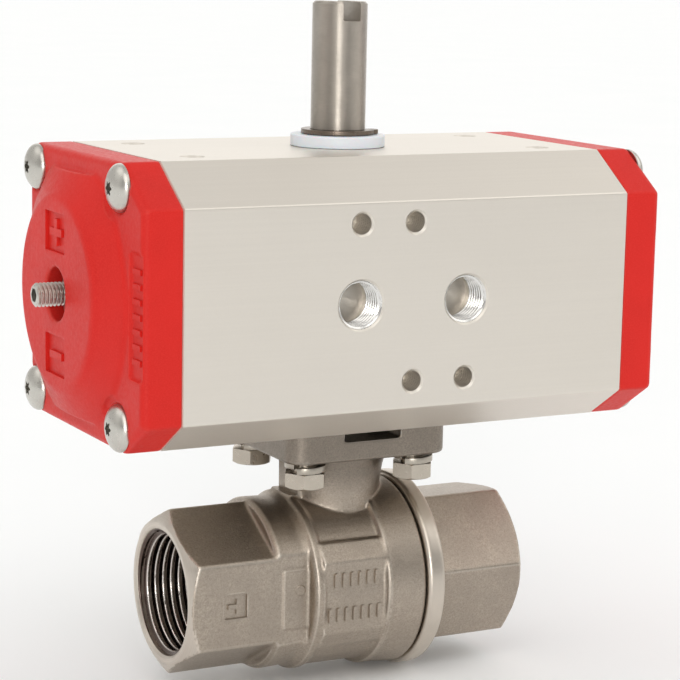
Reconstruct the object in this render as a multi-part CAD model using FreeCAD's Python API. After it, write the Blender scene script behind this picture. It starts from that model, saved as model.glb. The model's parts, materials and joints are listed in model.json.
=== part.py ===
"""Rotary pneumatic actuator on a two-piece ball valve.

Units are millimetres. X runs along the pipe and along the actuator, the air ports face -Y, and +Z is
up. The origin is under the centre of the valve, at the height of its lowest point.
At rest the valve is closed: the pistons are together and the ball's bore lies across the pipe.
"""
import FreeCAD, Part
import math
import os
from FreeCAD import Vector

os.makedirs("parts", exist_ok=True)

# ---------------------------------------------------------------- driving dimensions
# heights
COLLAR_R = 21.2                     # largest radius of the valve, which sets the origin's height
FLOW_Z = COLLAR_R                   # height of the pipe axis
PAD_ABOVE_FLOW = 36.0               # mounting pad's top face above the pipe axis
PAD_Z = FLOW_Z + PAD_ABOVE_FLOW     # where the actuator stands on the valve

# actuator housing
BODY_L = 100.0
FRONT_Y, BACK_Y = -34.35, 26.2      # the side with the air ports stands out further
BODY_H = 56.4
TOP_CHAMFER_Y, TOP_CHAMFER_Z = 11.7, 8.0
LOW_CHAMFER_Y, LOW_CHAMFER_Z = 10.4, 6.8
BACK_CHAMFER_Y, BACK_CHAMFER_Z = 2.6, 3.4
BORE_R = 24.0                       # cylinder bore
BORE_Z = PAD_Z + BODY_H / 2
EDGE_R = 0.6

# end caps
GASKET_T = 0.2
CAP_T = 8.3
DOME_H = 4.4
DOME_BASE_R, DOME_TOP_R = 27.4, 19.6
DOME_HALF_Z = 24.6
CAP_SCREW_Y, CAP_SCREW_Z = 22.3, 23.3
CAP_HOLE_R, CAP_HOLE_DEPTH = 5.4, 7.0
STRIP_Y = (-33.6, -27.6)            # recessed strip on the cap's face, at the side with the ports
STRIP_Z = (-12.6, 11.9)
MARK_W, MARK_H, MARK_OFFSET = 9.6, 8.0, 12.3

# screws and threads
M5_R, M5_TAP_R, M5_CLEAR_R = 2.45, 2.1, 2.75
BUTTON_R, BUTTON_H = 4.75, 2.75
AF8_R = 4.0 / math.cos(math.pi / 6)

# ports and screw holes on the front face
PORT_X = 12.0
PORT_R, PORT_MOUTH_R, PORT_DEPTH = 4.864, 5.25, 8.6
VALVE_SCREW_Z = 16.0
BRACKET_X, BRACKET_Y = 40.0, 15.0

# drive shaft, heights above the pad
SHAFT_R, SHAFT_TOP = 5.75, 86.4
SLOT_W, SLOT_D = 4.0, 4.0
LOW_JOURNAL_R, LOW_HOLE_R = 9.5, 10.5
TOP_JOURNAL_R, TOP_HOLE_R = 8.9, 9.9
SQUARE = 9.0
RUNNING = 0.05                      # radial clearance of a running fit
SEAL_GAP = 0.1

# rack and pinion
MODULE, TEETH = 1.0, 18
PITCH_R = MODULE * TEETH / 2
GEAR_R, GEAR_ROOT_R = PITCH_R + MODULE, PITCH_R - 1.25 * MODULE
PRESSURE = math.radians(20)
BACKLASH = 0.12
GEAR_HALF_H, RACK_HALF_H = 14.0, 10.5

# pistons
PISTON_R = BORE_R - 0.25
PISTON_IN, PISTON_OUT = 22.0, 34.0
RACK_REACH = 21.0
ARM_R = 23.5

# valve
END_X = 39.5                        # half the length of the valve
HEX_AF = 31.0
HEX_R = HEX_AF / 2 / math.cos(math.pi / 6)
HEX_FACE_R = 14.8                   # where the 30 degree chamfer meets the end face
RETAINER_TURN = -7.0                # how far the screwed-in end stops from square, degrees
PIPE_R, PIPE_MOUTH_R, PIPE_DEPTH = 13.22, 13.6, 15.0
FLOW_R = 9.5
BALL_R = 15.0
BODY_END_X, COLLAR_X0, COLLAR_X1 = 12.6, 13.1, 17.1
SPIGOT_R, SPIGOT_X = 17.0, 8.7
SEAT_X, SEAT_R = 13.55, 13.9
CAVITY_R = 15.6
PAD_HALF, PAD_T, PAD_CORNER_R = 18.5, 7.3, 4.0
CHANNEL_W, CHANNEL_D = 13.1, 3.0
F03_OFFSET = 36.0 / 2 / math.sqrt(2)
WASHER_T = 2.4
BOLT_HEAD_H = 3.3
STEM_R = 5.5
GLAND_R = 7.1
RECESS_R, RECESS_D = 9.6, 7.0

X_AXIS, Y_AXIS, Z_AXIS = Vector(1, 0, 0), Vector(0, 1, 0), Vector(0, 0, 1)
FLOW_C = Vector(0, 0, FLOW_Z)
ORIGIN = Vector(0, 0, 0)
CLEAR = 1.0                         # how far a cutting tool runs past a face


# ---------------------------------------------------------------- helpers
def save(name, shape):
    shape.exportStep("parts/" + name + ".step")


def box(x0, x1, y0, y1, z0, z1):
    return Part.makeBox(x1 - x0, y1 - y0, z1 - z0, Vector(x0, y0, z0))


def disc(radius, start, end):
    """A cylinder between two points."""
    start, end = Vector(*start), Vector(*end)
    run = end - start
    return Part.makeCylinder(radius, run.Length, start, run)


def ring(outer, inner, start, end):
    return disc(outer, start, end).cut(disc(inner, start, end))


def prism_x(points, x0, x1):
    """A prism along X from an outline of (y, z) points."""
    corners = [Vector(x0, y, z) for y, z in points]
    face = Part.Face(Part.makePolygon(corners + corners[:1]))
    return face.extrude(Vector(x1 - x0, 0, 0))


def lathe_x(points, centre_z):
    """A solid of revolution about an X axis from (x, radius) points."""
    corners = [Vector(x, 0, centre_z + r) for x, r in points]
    face = Part.Face(Part.makePolygon(corners + corners[:1]))
    return face.revolve(Vector(0, 0, centre_z), X_AXIS, 360)


def lathe_z(points, x=0.0, y=0.0):
    """A solid of revolution about a Z axis from (radius, z) points."""
    corners = [Vector(x + r, y, z) for r, z in points]
    face = Part.Face(Part.makePolygon(corners + corners[:1]))
    return face.revolve(Vector(x, y, 0), Z_AXIS, 360)


def torus(major, minor, centre, axis):
    return Part.makeTorus(major, minor, Vector(*centre), axis)


def hexagon_points(corner_r, first_deg, centre_z):
    angles = [math.radians(first_deg + 60 * k) for k in range(6)]
    return [(corner_r * math.cos(a), centre_z + corner_r * math.sin(a)) for a in angles]


def hex_nut_x(corner_r, hole_r, x0, x1, centre_z):
    body = prism_x(hexagon_points(corner_r, 0, centre_z), x0, x1)
    return body.cut(disc(hole_r, (x0 - CLEAR, 0, centre_z), (x1 + CLEAR, 0, centre_z)))


def hex_prism_z(corner_r, x, y, z0, z1):
    corners = [Vector(x + corner_r * math.cos(math.radians(60 * k)),
                      y + corner_r * math.sin(math.radians(60 * k)), z0) for k in range(7)]
    return Part.Face(Part.makePolygon(corners)).extrude(Vector(0, 0, z1 - z0))


def moved(shape, x=0.0, y=0.0, z=0.0):
    copy = shape.copy()
    copy.translate(Vector(x, y, z))
    return copy


def turned(shape, degrees, centre=ORIGIN, axis=Z_AXIS):
    copy = shape.copy()
    copy.rotate(centre, axis, degrees)
    return copy


def fuse_all(shapes):
    first, rest = shapes[0], shapes[1:]
    return first.multiFuse(rest).removeSplitter() if rest else first


def cut_all(shape, tools):
    return shape.cut(fuse_all(tools)) if len(tools) == 1 else shape.cut(Part.makeCompound(tools))


def round_edges(shape, radius, wanted):
    """Fillets the edges that wanted(edge) picks."""
    edges = [edge for edge in shape.Edges if wanted(edge)]
    return shape.makeFillet(radius, edges) if edges else shape


def runs_along(axis):
    def wanted(edge):
        first, last = edge.Vertexes[0].Point, edge.Vertexes[-1].Point
        run = last - first
        return run.Length > CLEAR and abs(run.normalize().dot(axis)) > 0.999
    return wanted


def at_x(x):
    """Picks edges that lie wholly in the plane of this x."""
    return lambda edge: all(abs(v.Point.x - x) < 0.01 for v in edge.Vertexes)


def corners_of(dx, dy):
    return [(sx * dx, sy * dy) for sx in (-1, 1) for sy in (-1, 1)]


def sides():
    """Name and sign of the two ends of the actuator."""
    return (("left", -1), ("right", 1))


# ---------------------------------------------------------------- actuator housing
def octagon(inset=0.0):
    """The housing's eight-sided section as (y, z) points; the chamfers are wide at the front only."""
    front, back = FRONT_Y + inset, BACK_Y - inset
    top, low = PAD_Z + BODY_H - inset, PAD_Z + inset
    return [(front, low + LOW_CHAMFER_Z), (front, top - TOP_CHAMFER_Z), (front + TOP_CHAMFER_Y, top),
            (back - BACK_CHAMFER_Y, top), (back, top - BACK_CHAMFER_Z), (back, low + BACK_CHAMFER_Z),
            (back - BACK_CHAMFER_Y, low), (front + LOW_CHAMFER_Y, low)]


def tapped_hole(point, direction, depth, radius=M5_TAP_R, mouth=2.55):
    """A blind hole with a small countersink; direction points into the metal."""
    start = Vector(*point)
    sink = mouth - radius
    hole = Part.makeCylinder(radius, depth, start, direction)
    return hole.fuse(Part.makeCone(mouth, radius, sink, start, direction))


def port_tools():
    """The two air ports with their countersinks and air ways."""
    tools = []
    for x in (-PORT_X, PORT_X):
        start = Vector(x, FRONT_Y, BORE_Z)
        tools.append(Part.makeCylinder(PORT_R, PORT_DEPTH, start, Y_AXIS))
        tools.append(Part.makeCone(PORT_MOUTH_R, PORT_R, PORT_MOUTH_R - PORT_R, start, Y_AXIS))
    bottom = FRONT_Y + PORT_DEPTH
    # the left port feeds the space between the pistons
    tools.append(disc(1.1, (-PORT_X - 2.6, bottom - CLEAR, BORE_Z + 2.0),
                      (-PORT_X - 2.6, -BORE_R + 1.5, BORE_Z + 2.0)))
    # the right port feeds both ends through a long air way
    way_y, way_z = -29.0, BORE_Z - 8.2
    tools.append(disc(1.2, (-BODY_L / 2 - CLEAR, way_y, way_z), (BODY_L / 2 + CLEAR, way_y, way_z)))
    tools.append(disc(1.1, (PORT_X - 2.4, way_y, BORE_Z - 3.0), (PORT_X - 2.4, way_y, way_z)))
    return tools


def actuator_body():
    half = BODY_L / 2
    body = prism_x(octagon(), -half, half)
    body = round_edges(body, EDGE_R, runs_along(X_AXIS))
    tools = [disc(BORE_R, (-half - CLEAR, 0, BORE_Z), (half + CLEAR, 0, BORE_Z)),
             disc(LOW_HOLE_R, (0, 0, PAD_Z - CLEAR), (0, 0, BORE_Z)),
             disc(TOP_HOLE_R, (0, 0, BORE_Z), (0, 0, PAD_Z + BODY_H + CLEAR))]
    tools += port_tools()
    top = PAD_Z + BODY_H
    for x, z in ((-PORT_X, VALVE_SCREW_Z), (0, VALVE_SCREW_Z), (0, -VALVE_SCREW_Z),
                 (PORT_X, -VALVE_SCREW_Z)):
        tools.append(tapped_hole((x, FRONT_Y, BORE_Z + z), Y_AXIS, 7.0))
    for x, y in corners_of(BRACKET_X, BRACKET_Y):
        tools.append(tapped_hole((x, y, top), Vector(0, 0, -1), 6.0))
    for x, y in corners_of(F03_OFFSET, F03_OFFSET):
        tools.append(disc(M5_R + RUNNING, (x, y, PAD_Z - CLEAR), (x, y, PAD_Z + 6.2)))
    for y, z in corners_of(CAP_SCREW_Y, CAP_SCREW_Z):
        for sign in (-1, 1):
            tools.append(disc(M5_R + RUNNING, (sign * (half + CLEAR), y, BORE_Z + z),
                              (sign * (half - 9.5), y, BORE_Z + z)))
    save("actuator_body", cut_all(body, tools))


# ---------------------------------------------------------------- end caps
def cap_gasket(sign):
    inner, outer = BODY_L / 2, BODY_L / 2 + GASKET_T
    plate = prism_x(octagon(0.15), sign * inner, sign * outer)
    tools = [disc(BORE_R, (sign * (inner - CLEAR), 0, BORE_Z), (sign * (outer + CLEAR), 0, BORE_Z))]
    for y, z in corners_of(CAP_SCREW_Y, CAP_SCREW_Z):
        tools.append(disc(M5_CLEAR_R, (sign * (inner - CLEAR), y, BORE_Z + z),
                          (sign * (outer + CLEAR), y, BORE_Z + z)))
    return cut_all(plate, tools)


CAP_X0 = BODY_L / 2 + GASKET_T
CAP_X1 = CAP_X0 + CAP_T
DOME_X = CAP_X1 + DOME_H
SCREW_SEAT_X = CAP_X1 - 0.6


def mark_tools(sign_of_mark):
    """A shallow square frame with a plus or a minus in it, cut into the dome's flat."""
    depth, line = 0.35, 0.8
    centre_z = BORE_Z + sign_of_mark * MARK_OFFSET
    x0, x1 = DOME_X - depth, DOME_X + CLEAR
    w, h = MARK_W / 2, MARK_H / 2
    frame = box(x0, x1, -w, w, centre_z - h, centre_z + h).cut(
        box(x0, x1, -w + line, w - line, centre_z - h + line, centre_z + h - line))
    tools = [frame, box(x0, x1, -2.6, 2.6, centre_z - 0.5, centre_z + 0.5)]
    if sign_of_mark > 0:
        tools.append(box(x0, x1, -0.5, 0.5, centre_z - 2.3, centre_z + 2.3))
    return tools


def end_cap():
    """The right-hand cap; the left one is its mirror image."""
    cap = prism_x(octagon(), CAP_X0, CAP_X1)
    cap = round_edges(cap, EDGE_R, runs_along(X_AXIS))
    cap = round_edges(cap, 1.5, at_x(CAP_X1))
    dome = lathe_x([(CAP_X1 - 3, 0), (CAP_X1 - 3, DOME_BASE_R), (CAP_X1, DOME_BASE_R),
                    (CAP_X1 + 0.7, DOME_BASE_R - 0.9), (DOME_X - 1.0, DOME_TOP_R + 1.3),
                    (DOME_X - 0.3, DOME_TOP_R + 0.2), (DOME_X, DOME_TOP_R - 0.7), (DOME_X, 0)], BORE_Z)
    dome = dome.common(box(CAP_X1 - 3, DOME_X + CLEAR, -40, BACK_Y - 0.4,
                           BORE_Z - DOME_HALF_Z, BORE_Z + DOME_HALF_Z))
    scoops = []
    seats = []
    for y, z in corners_of(CAP_SCREW_Y, CAP_SCREW_Z):
        scoops.append(disc(6.4, (CAP_X1, y, BORE_Z + z), (DOME_X + CLEAR, y, BORE_Z + z)))
        seats.append(disc(5.15, (SCREW_SEAT_X, y, BORE_Z + z), (CAP_X1 + CLEAR, y, BORE_Z + z)))
        seats.append(disc(M5_CLEAR_R, (CAP_X0 - CLEAR, y, BORE_Z + z), (CAP_X1, y, BORE_Z + z)))
    cap = cap.fuse(cut_all(dome, scoops))
    spigot = ring(BORE_R - 0.1, BORE_R - 1.8, (BODY_L / 2 - 1.4, 0, BORE_Z), (CAP_X0, 0, BORE_Z))
    boss = disc(8.0, (BODY_L / 2 - 0.6, 0, BORE_Z), (CAP_X0 + 4, 0, BORE_Z))
    pocket = ring(20.0, 8.0, (CAP_X0 - CLEAR, 0, BORE_Z), (CAP_X0 + 3.0, 0, BORE_Z))
    cap = cap.cut(pocket).fuse(spigot).fuse(boss)
    tools = seats + mark_tools(1) + mark_tools(-1)
    tools.append(disc(CAP_HOLE_R, (DOME_X - CAP_HOLE_DEPTH, 0, BORE_Z), (DOME_X + CLEAR, 0, BORE_Z)))
    tools.append(disc(M5_R + RUNNING, (CAP_X0 - 3, 0, BORE_Z), (DOME_X, 0, BORE_Z)))
    strip = box(CAP_X1 - 0.7, CAP_X1 + CLEAR, STRIP_Y[0], STRIP_Y[1],
                BORE_Z + STRIP_Z[0], BORE_Z + STRIP_Z[1])
    tools.append(round_edges(strip, 1.4, runs_along(X_AXIS)))
    return cut_all(cap, tools).removeSplitter()


def button_screw(y, z):
    """One cap screw on the right-hand cap, with a six-lobed socket."""
    x0, rise = SCREW_SEAT_X, BUTTON_H
    head = lathe_x([(x0, 0), (x0, BUTTON_R), (x0 + 0.5, BUTTON_R), (x0 + 0.5 * rise, BUTTON_R - 0.75),
                    (x0 + 0.8 * rise, BUTTON_R - 1.9), (x0 + 0.96 * rise, 1.9), (x0 + rise, 1.2),
                    (x0 + rise, 0)], z)
    head.translate(Vector(0, y, 0))
    shank = disc(M5_R, (x0 - 15.5, y, z), (x0 + 0.2, y, z))
    lobes = [disc(0.42, (x0 + 1.3, y + 1.05 * math.cos(a), z + 1.05 * math.sin(a)),
                  (x0 + rise + CLEAR, y + 1.05 * math.cos(a), z + 1.05 * math.sin(a)))
             for a in [math.radians(60 * k) for k in range(6)]]
    socket = fuse_all([disc(1.05, (x0 + 1.3, y, z), (x0 + rise + CLEAR, y, z))] + lobes)
    return head.fuse(shank).cut(socket)


def stroke_screw():
    """Right-hand stroke screw: threaded rod with a hexagon socket in its outer end."""
    tip, inner, chamfer = DOME_X + 4.4, 49.3, 0.5
    rod = lathe_x([(inner, 0), (inner, M5_R - chamfer), (inner + chamfer, M5_R),
                   (tip - chamfer, M5_R), (tip, M5_R - chamfer), (tip, 0)], BORE_Z)
    socket = prism_x(hexagon_points(1.45, 0, BORE_Z), tip - 2.5, tip + CLEAR)
    return rod.cut(socket)


def end_pieces():
    cap = end_cap()
    screws = Part.makeCompound([button_screw(y, BORE_Z + z)
                                for y, z in corners_of(CAP_SCREW_Y, CAP_SCREW_Z)])
    floor = DOME_X - CAP_HOLE_DEPTH
    seal = ring(4.6, M5_R + RUNNING, (floor, 0, BORE_Z), (floor + 0.9, 0, BORE_Z))
    nut = hex_nut_x(AF8_R, M5_R + RUNNING, floor + 0.9, floor + 4.1, BORE_Z)
    pieces = {"end_cap": cap, "cap_screws": screws, "screw_seal": seal, "lock_nut": nut,
              "stroke_screw": stroke_screw()}
    for side, sign in sides():
        save(side + "_cap_gasket", cap_gasket(sign))
        for name, shape in pieces.items():
            save(side + "_" + name, shape if sign > 0 else shape.mirror(ORIGIN, X_AXIS))


# ---------------------------------------------------------------- shaft and gear
def involute_point(angle_at_pitch, radius, side):
    """Point of a tooth flank: side is 1 or -1, measured about the tooth's centre line."""
    base_r = PITCH_R * math.cos(PRESSURE)
    def involute(r):
        tilt = math.acos(min(1.0, base_r / r))
        return math.tan(tilt) - tilt
    angle = angle_at_pitch + involute(PITCH_R) - involute(max(radius, base_r))
    return radius, side * angle


def gear(z0, z1):
    half_tooth = (math.pi * MODULE / 2 - BACKLASH) / 2 / PITCH_R
    base_r = PITCH_R * math.cos(PRESSURE)
    radii = [GEAR_ROOT_R] + [base_r + (GEAR_R - base_r) * k / 4 for k in range(5)]
    corners = []
    for tooth in range(TEETH):
        centre = math.pi / 2 + tooth * 2 * math.pi / TEETH
        flank = [involute_point(half_tooth, r, -1) for r in radii]
        flank += [involute_point(half_tooth, r, 1) for r in reversed(radii)]
        for r, a in flank:
            corners.append(Vector(r * math.cos(centre + a), r * math.sin(centre + a), z0))
    return Part.Face(Part.makePolygon(corners + corners[:1])).extrude(Vector(0, 0, z1 - z0))


def pinion_shaft():
    z = PAD_Z
    top = z + SHAFT_TOP
    gear_z = BORE_Z
    profile = [(0, 0.3), (9.1, 0.3), (LOW_JOURNAL_R, 0.6), (8.9, 0.61), (8.9, 2.39), (LOW_JOURNAL_R, 2.4),
               (LOW_JOURNAL_R, 6.4), (7.6, 6.8), (7.6, 49.4), (TOP_JOURNAL_R, 49.8), (TOP_JOURNAL_R, 54.2),
               (8.25, 54.21), (8.25, 55.79), (TOP_JOURNAL_R, 55.8), (TOP_JOURNAL_R, 56.1),
               (8.6, 56.35), (SHAFT_R, 56.36), (SHAFT_R, 58.94), (5.35, 58.95), (5.35, 60.0),
               (SHAFT_R, 60.01), (SHAFT_R, SHAFT_TOP - 0.5), (SHAFT_R - 0.5, SHAFT_TOP), (0, SHAFT_TOP)]
    shaft = lathe_z([(r, z + height) for r, height in profile])
    shaft = shaft.fuse(gear(gear_z - GEAR_HALF_H, gear_z + GEAR_HALF_H))
    half = SQUARE / 2 + RUNNING
    tools = [box(-half, half, -half, half, z - CLEAR, z + 11.0),
             box(-SLOT_W / 2, SLOT_W / 2, -10, 10, top - SLOT_D, top + CLEAR)]
    save("pinion_shaft", cut_all(shaft, tools))


def circlip():
    """Retaining ring with two eyes beside its opening, which faces +X."""
    z0, z1 = PAD_Z + 58.98, PAD_Z + 59.96
    eye_r, eye_at, half_gap = 1.5, 7.0, 22
    clip = ring(7.7, 5.42, (0, 0, z0), (0, 0, z1))
    opening = [Vector(0, 0, z0 - CLEAR)]
    opening += [Vector(12 * math.cos(math.radians(a)), 12 * math.sin(math.radians(a)), z0 - CLEAR)
                for a in (-half_gap + 10, half_gap + 10)]
    wedge = Part.Face(Part.makePolygon(opening + opening[:1])).extrude(Vector(0, 0, 4))
    clip = clip.cut(wedge)
    for side in (-1, 1):
        a = math.radians(10 + side * (half_gap + 12))
        x, y = eye_at * math.cos(a), eye_at * math.sin(a)
        eye = disc(eye_r, (x, y, z0), (x, y, z1)).cut(disc(5.42, (0, 0, z0 - CLEAR), (0, 0, z1 + CLEAR)))
        clip = clip.fuse(eye).cut(disc(0.55, (x, y, z0 - CLEAR), (x, y, z1 + CLEAR)))
    return clip.removeSplitter()


def shaft_pieces():
    z = PAD_Z
    pinion_shaft()
    save("shaft_circlip", circlip())
    save("shaft_spacer_ring", lathe_z([(SHAFT_R + 0.1, z + 56.42), (9.8, z + 56.42), (10.0, z + 56.6),
                                       (10.0, z + 58.6), (9.7, z + 58.9), (SHAFT_R + 0.1, z + 58.9)]))
    save("lower_shaft_bush", ring(LOW_HOLE_R, LOW_JOURNAL_R + RUNNING,
                                  (0, 0, z + 2.5), (0, 0, z + 4.15)))
    save("upper_shaft_bush", ring(TOP_HOLE_R, TOP_JOURNAL_R + RUNNING,
                                  (0, 0, z + 52.3), (0, 0, z + 54.0)))
    seal_r = 0.72
    save("lower_shaft_o_ring", torus(LOW_HOLE_R - SEAL_GAP - seal_r, seal_r, (0, 0, z + 1.5), Z_AXIS))
    save("upper_shaft_o_ring", torus(TOP_HOLE_R - SEAL_GAP - seal_r, seal_r, (0, 0, z + 55.0), Z_AXIS))


# ---------------------------------------------------------------- pistons
def rack_tooth_space(x):
    """The gap between two rack teeth, centred at x, for the rack on the +Y side."""
    slope = math.tan(PRESSURE)
    half = (math.pi * MODULE / 2 + BACKLASH) / 2
    y_tip, y_root = PITCH_R - MODULE - CLEAR, PITCH_R + 1.3 * MODULE
    wide, narrow = half + slope * (PITCH_R - y_tip), half - slope * (y_root - PITCH_R)
    corners = [Vector(x - wide, y_tip, BORE_Z - 20), Vector(x + wide, y_tip, BORE_Z - 20),
               Vector(x + narrow, y_root, BORE_Z - 20), Vector(x - narrow, y_root, BORE_Z - 20)]
    return Part.Face(Part.makePolygon(corners + corners[:1])).extrude(Vector(0, 0, 40))


def pad_shape(outer_r, x0, x1, half_z):
    block = box(x0, x1, 0, BORE_R + CLEAR, BORE_Z - half_z, BORE_Z + half_z)
    return ring(outer_r, 22.3, (x0, 0, BORE_Z), (x1, 0, BORE_Z)).common(block)


def piston():
    """The left piston, whose rack lies on the +Y side; the right one is turned half a turn."""
    head = disc(PISTON_R, (-PISTON_OUT, 0, BORE_Z), (-PISTON_IN, 0, BORE_Z))
    head = head.cut(disc(15, (-PISTON_OUT - CLEAR, 0, BORE_Z), (-PISTON_OUT + 4, 0, BORE_Z)))
    arm = box(-PISTON_IN, RACK_REACH, PITCH_R - MODULE + 0.1, BORE_R,
              BORE_Z - RACK_HALF_H, BORE_Z + RACK_HALF_H)
    arm = arm.common(disc(ARM_R, (-PISTON_IN, 0, BORE_Z), (RACK_REACH, 0, BORE_Z)))
    pitch = math.pi * MODULE
    spaces = [rack_tooth_space(pitch * k) for k in range(-3, 7)]
    shape = head.fuse(arm).cut(Part.makeCompound(spaces))
    grooves = [ring(BORE_R, 21.6, (-31.6, 0, BORE_Z), (-29.0, 0, BORE_Z)),
               ring(BORE_R, 22.6, (-27.2, 0, BORE_Z), (-24.2, 0, BORE_Z)),
               pad_shape(BORE_R, -14.0, 16.0, 5.0)]
    return cut_all(shape, grooves).removeSplitter()


def piston_pieces():
    seal_r = 1.1
    pieces = {"piston": piston(),
              "piston_o_ring": torus(BORE_R - SEAL_GAP - seal_r, seal_r, (-30.3, 0, BORE_Z), X_AXIS),
              "guide_ring": ring(BORE_R - RUNNING, 22.6, (-27.2, 0, BORE_Z), (-24.2, 0, BORE_Z)),
              "rack_pad": pad_shape(BORE_R - RUNNING, -14.0, 16.0, 5.0)}
    for side, sign in sides():
        for name, shape in pieces.items():
            save(side + "_" + name, shape if sign < 0 else turned(shape, 180))


# ---------------------------------------------------------------- valve body
def hexagon_end(x_start, x_end, first_deg):
    """A hexagon along X whose outer end has a 30 degree chamfer."""
    sign = 1 if x_end > x_start else -1
    hexagon = prism_x(hexagon_points(HEX_R, first_deg, FLOW_Z), x_start, x_end)
    hexagon = round_edges(hexagon, 0.9, runs_along(X_AXIS))
    run = (HEX_R - HEX_FACE_R) * math.tan(math.radians(30))
    envelope = lathe_x([(x_start, 0), (x_start, HEX_R + 1), (x_end - sign * run, HEX_R),
                        (x_end, HEX_FACE_R), (x_end, 0)], FLOW_Z)
    return hexagon.common(envelope)


def flow_bores(sign):
    """Pipe thread bore, its countersink and the flow passage at one end."""
    inner = END_X - PIPE_DEPTH
    sink = PIPE_MOUTH_R - PIPE_R
    return [disc(PIPE_R, (sign * inner, 0, FLOW_Z), (sign * (END_X + CLEAR), 0, FLOW_Z)),
            lathe_x([(sign * (END_X - sink), 0), (sign * (END_X - sink), PIPE_R),
                     (sign * END_X, PIPE_MOUTH_R), (sign * (END_X + CLEAR), PIPE_MOUTH_R),
                     (sign * (END_X + CLEAR), 0)], FLOW_Z),
            disc(FLOW_R, (sign * (SEAT_X - CLEAR), 0, FLOW_Z), (sign * (inner + CLEAR), 0, FLOW_Z)),
            disc(SEAT_R, (sign * 9.0, 0, FLOW_Z), (sign * SEAT_X, 0, FLOW_Z))]


def mounting_pad():
    pad = box(-PAD_HALF, PAD_HALF, -PAD_HALF, PAD_HALF, PAD_Z - PAD_T, PAD_Z)
    pad = round_edges(pad, PAD_CORNER_R, runs_along(Z_AXIS))
    low = PAD_Z - PAD_T
    pad = round_edges(pad, 0.7, lambda e: all(abs(v.Point.z - low) < 0.01 for v in e.Vertexes))
    channel = box(-CHANNEL_W / 2, CHANNEL_W / 2, -30, 30, PAD_Z - CHANNEL_D, PAD_Z + CLEAR)
    return pad.cut(channel)


def body_barrel():
    """The turned-looking cast barrel between the hexagon and the joint."""
    shoulder = lathe_x([(-20.5, 0), (-20.5, 17.6), (-19.6, 18.3), (-14.3, 18.1), (-11.0, 19.2),
                        (-11.0, 0)], FLOW_Z)
    shoulder = shoulder.common(box(-21, -11, -HEX_AF / 2, HEX_AF / 2, 0, PAD_Z))
    barrel = lathe_x([(-12.8, 0), (-12.8, 18.4), (-12.2, 19.2), (-10.7, 19.3), (-10.2, 18.7), (3.6, 18.8),
                      (4.0, 20.0), (4.9, 20.1), (5.3, 19.9), (BODY_END_X - 0.4, 20.5), (BODY_END_X, 20.1),
                      (BODY_END_X, 0)], FLOW_Z)
    return [shoulder, barrel]


def side_panel(sign):
    """Flat raised panel on the side of the barrel; sign -1 is the front."""
    outline = [(12.0, 11.2), (15.9, 11.2), (18.5, 7.6), (18.5, -7.6), (15.9, -11.2), (12.0, -11.2)]
    return prism_x([(sign * y, FLOW_Z + z) for y, z in outline], -10.6, 4.3)


def neck():
    profile = [(0, PAD_Z - 30), (8.4, PAD_Z - 30), (8.5, PAD_Z - 21), (8.9, PAD_Z - 17.5),
               (9.6, PAD_Z - 14), (10.2, PAD_Z - 11), (11.2, PAD_Z - 8.2), (12.6, PAD_Z - PAD_T),
               (12.6, PAD_Z - PAD_T + 1), (0, PAD_Z - PAD_T + 1)]
    web = box(-12.0, 0, -4.5, 4.5, PAD_Z - 24, PAD_Z - PAD_T + 1)
    return [lathe_z(profile), web]


def plain_block(x_centre, width, half_z):
    """Small raised block on the front flat of the hexagon."""
    return box(x_centre - width / 2, x_centre + width / 2, -HEX_AF / 2 - 0.35, -HEX_AF / 2 + 1,
               FLOW_Z - half_z, FLOW_Z + half_z)


def flow_mark_tool():
    """A sunk square with a raised arrow left standing in it, on the front flat."""
    x0, x1, depth = -31.9, -26.9, 0.4
    front = -HEX_AF / 2
    square = box(x0, x1, front - CLEAR, front + depth, FLOW_Z - 2.5, FLOW_Z + 2.5)
    square = round_edges(square, 0.7, runs_along(Y_AXIS))
    tip, tail, y0 = x1 - 0.8, x0 + 0.8, front - CLEAR
    outline = [(tip, 0), (tip - 1.6, 1.5), (tip - 1.6, 0.45), (tail, 0.45), (tail, -0.45),
               (tip - 1.6, -0.45), (tip - 1.6, -1.5)]
    corners = [Vector(x, y0, FLOW_Z + z) for x, z in outline]
    arrow = Part.Face(Part.makePolygon(corners + corners[:1])).extrude(Vector(0, depth + 2 * CLEAR, 0))
    return square.cut(arrow)


def valve_body():
    solids = [hexagon_end(-12.0, -END_X, 30), side_panel(-1), side_panel(1), mounting_pad()]
    solids += body_barrel() + neck() + [plain_block(-15.2, 6.8, 6.2)]
    shape = fuse_all(solids)
    tools = flow_bores(-1)
    tools.append(disc(CAVITY_R, (-9.6, 0, FLOW_Z), (SPIGOT_X, 0, FLOW_Z)))
    tools.append(disc(SPIGOT_R + RUNNING, (8.1, 0, FLOW_Z), (BODY_END_X + CLEAR, 0, FLOW_Z)))
    tools.append(disc(GLAND_R, (0, 0, FLOW_Z + 10), (0, 0, FLOW_Z + 18.4)))
    tools.append(disc(STEM_R + 0.1, (0, 0, FLOW_Z + 18), (0, 0, PAD_Z)))
    tools.append(disc(GLAND_R, (0, 0, FLOW_Z + 19.6), (0, 0, PAD_Z)))
    tools.append(disc(RECESS_R, (0, 0, PAD_Z - RECESS_D), (0, 0, PAD_Z + CLEAR)))
    tools.append(flow_mark_tool())
    for x, y in corners_of(F03_OFFSET, F03_OFFSET):
        tools.append(disc(M5_CLEAR_R, (x, y, PAD_Z - PAD_T - CLEAR), (x, y, PAD_Z + CLEAR)))
    save("valve_body", cut_all(shape, tools))


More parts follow.
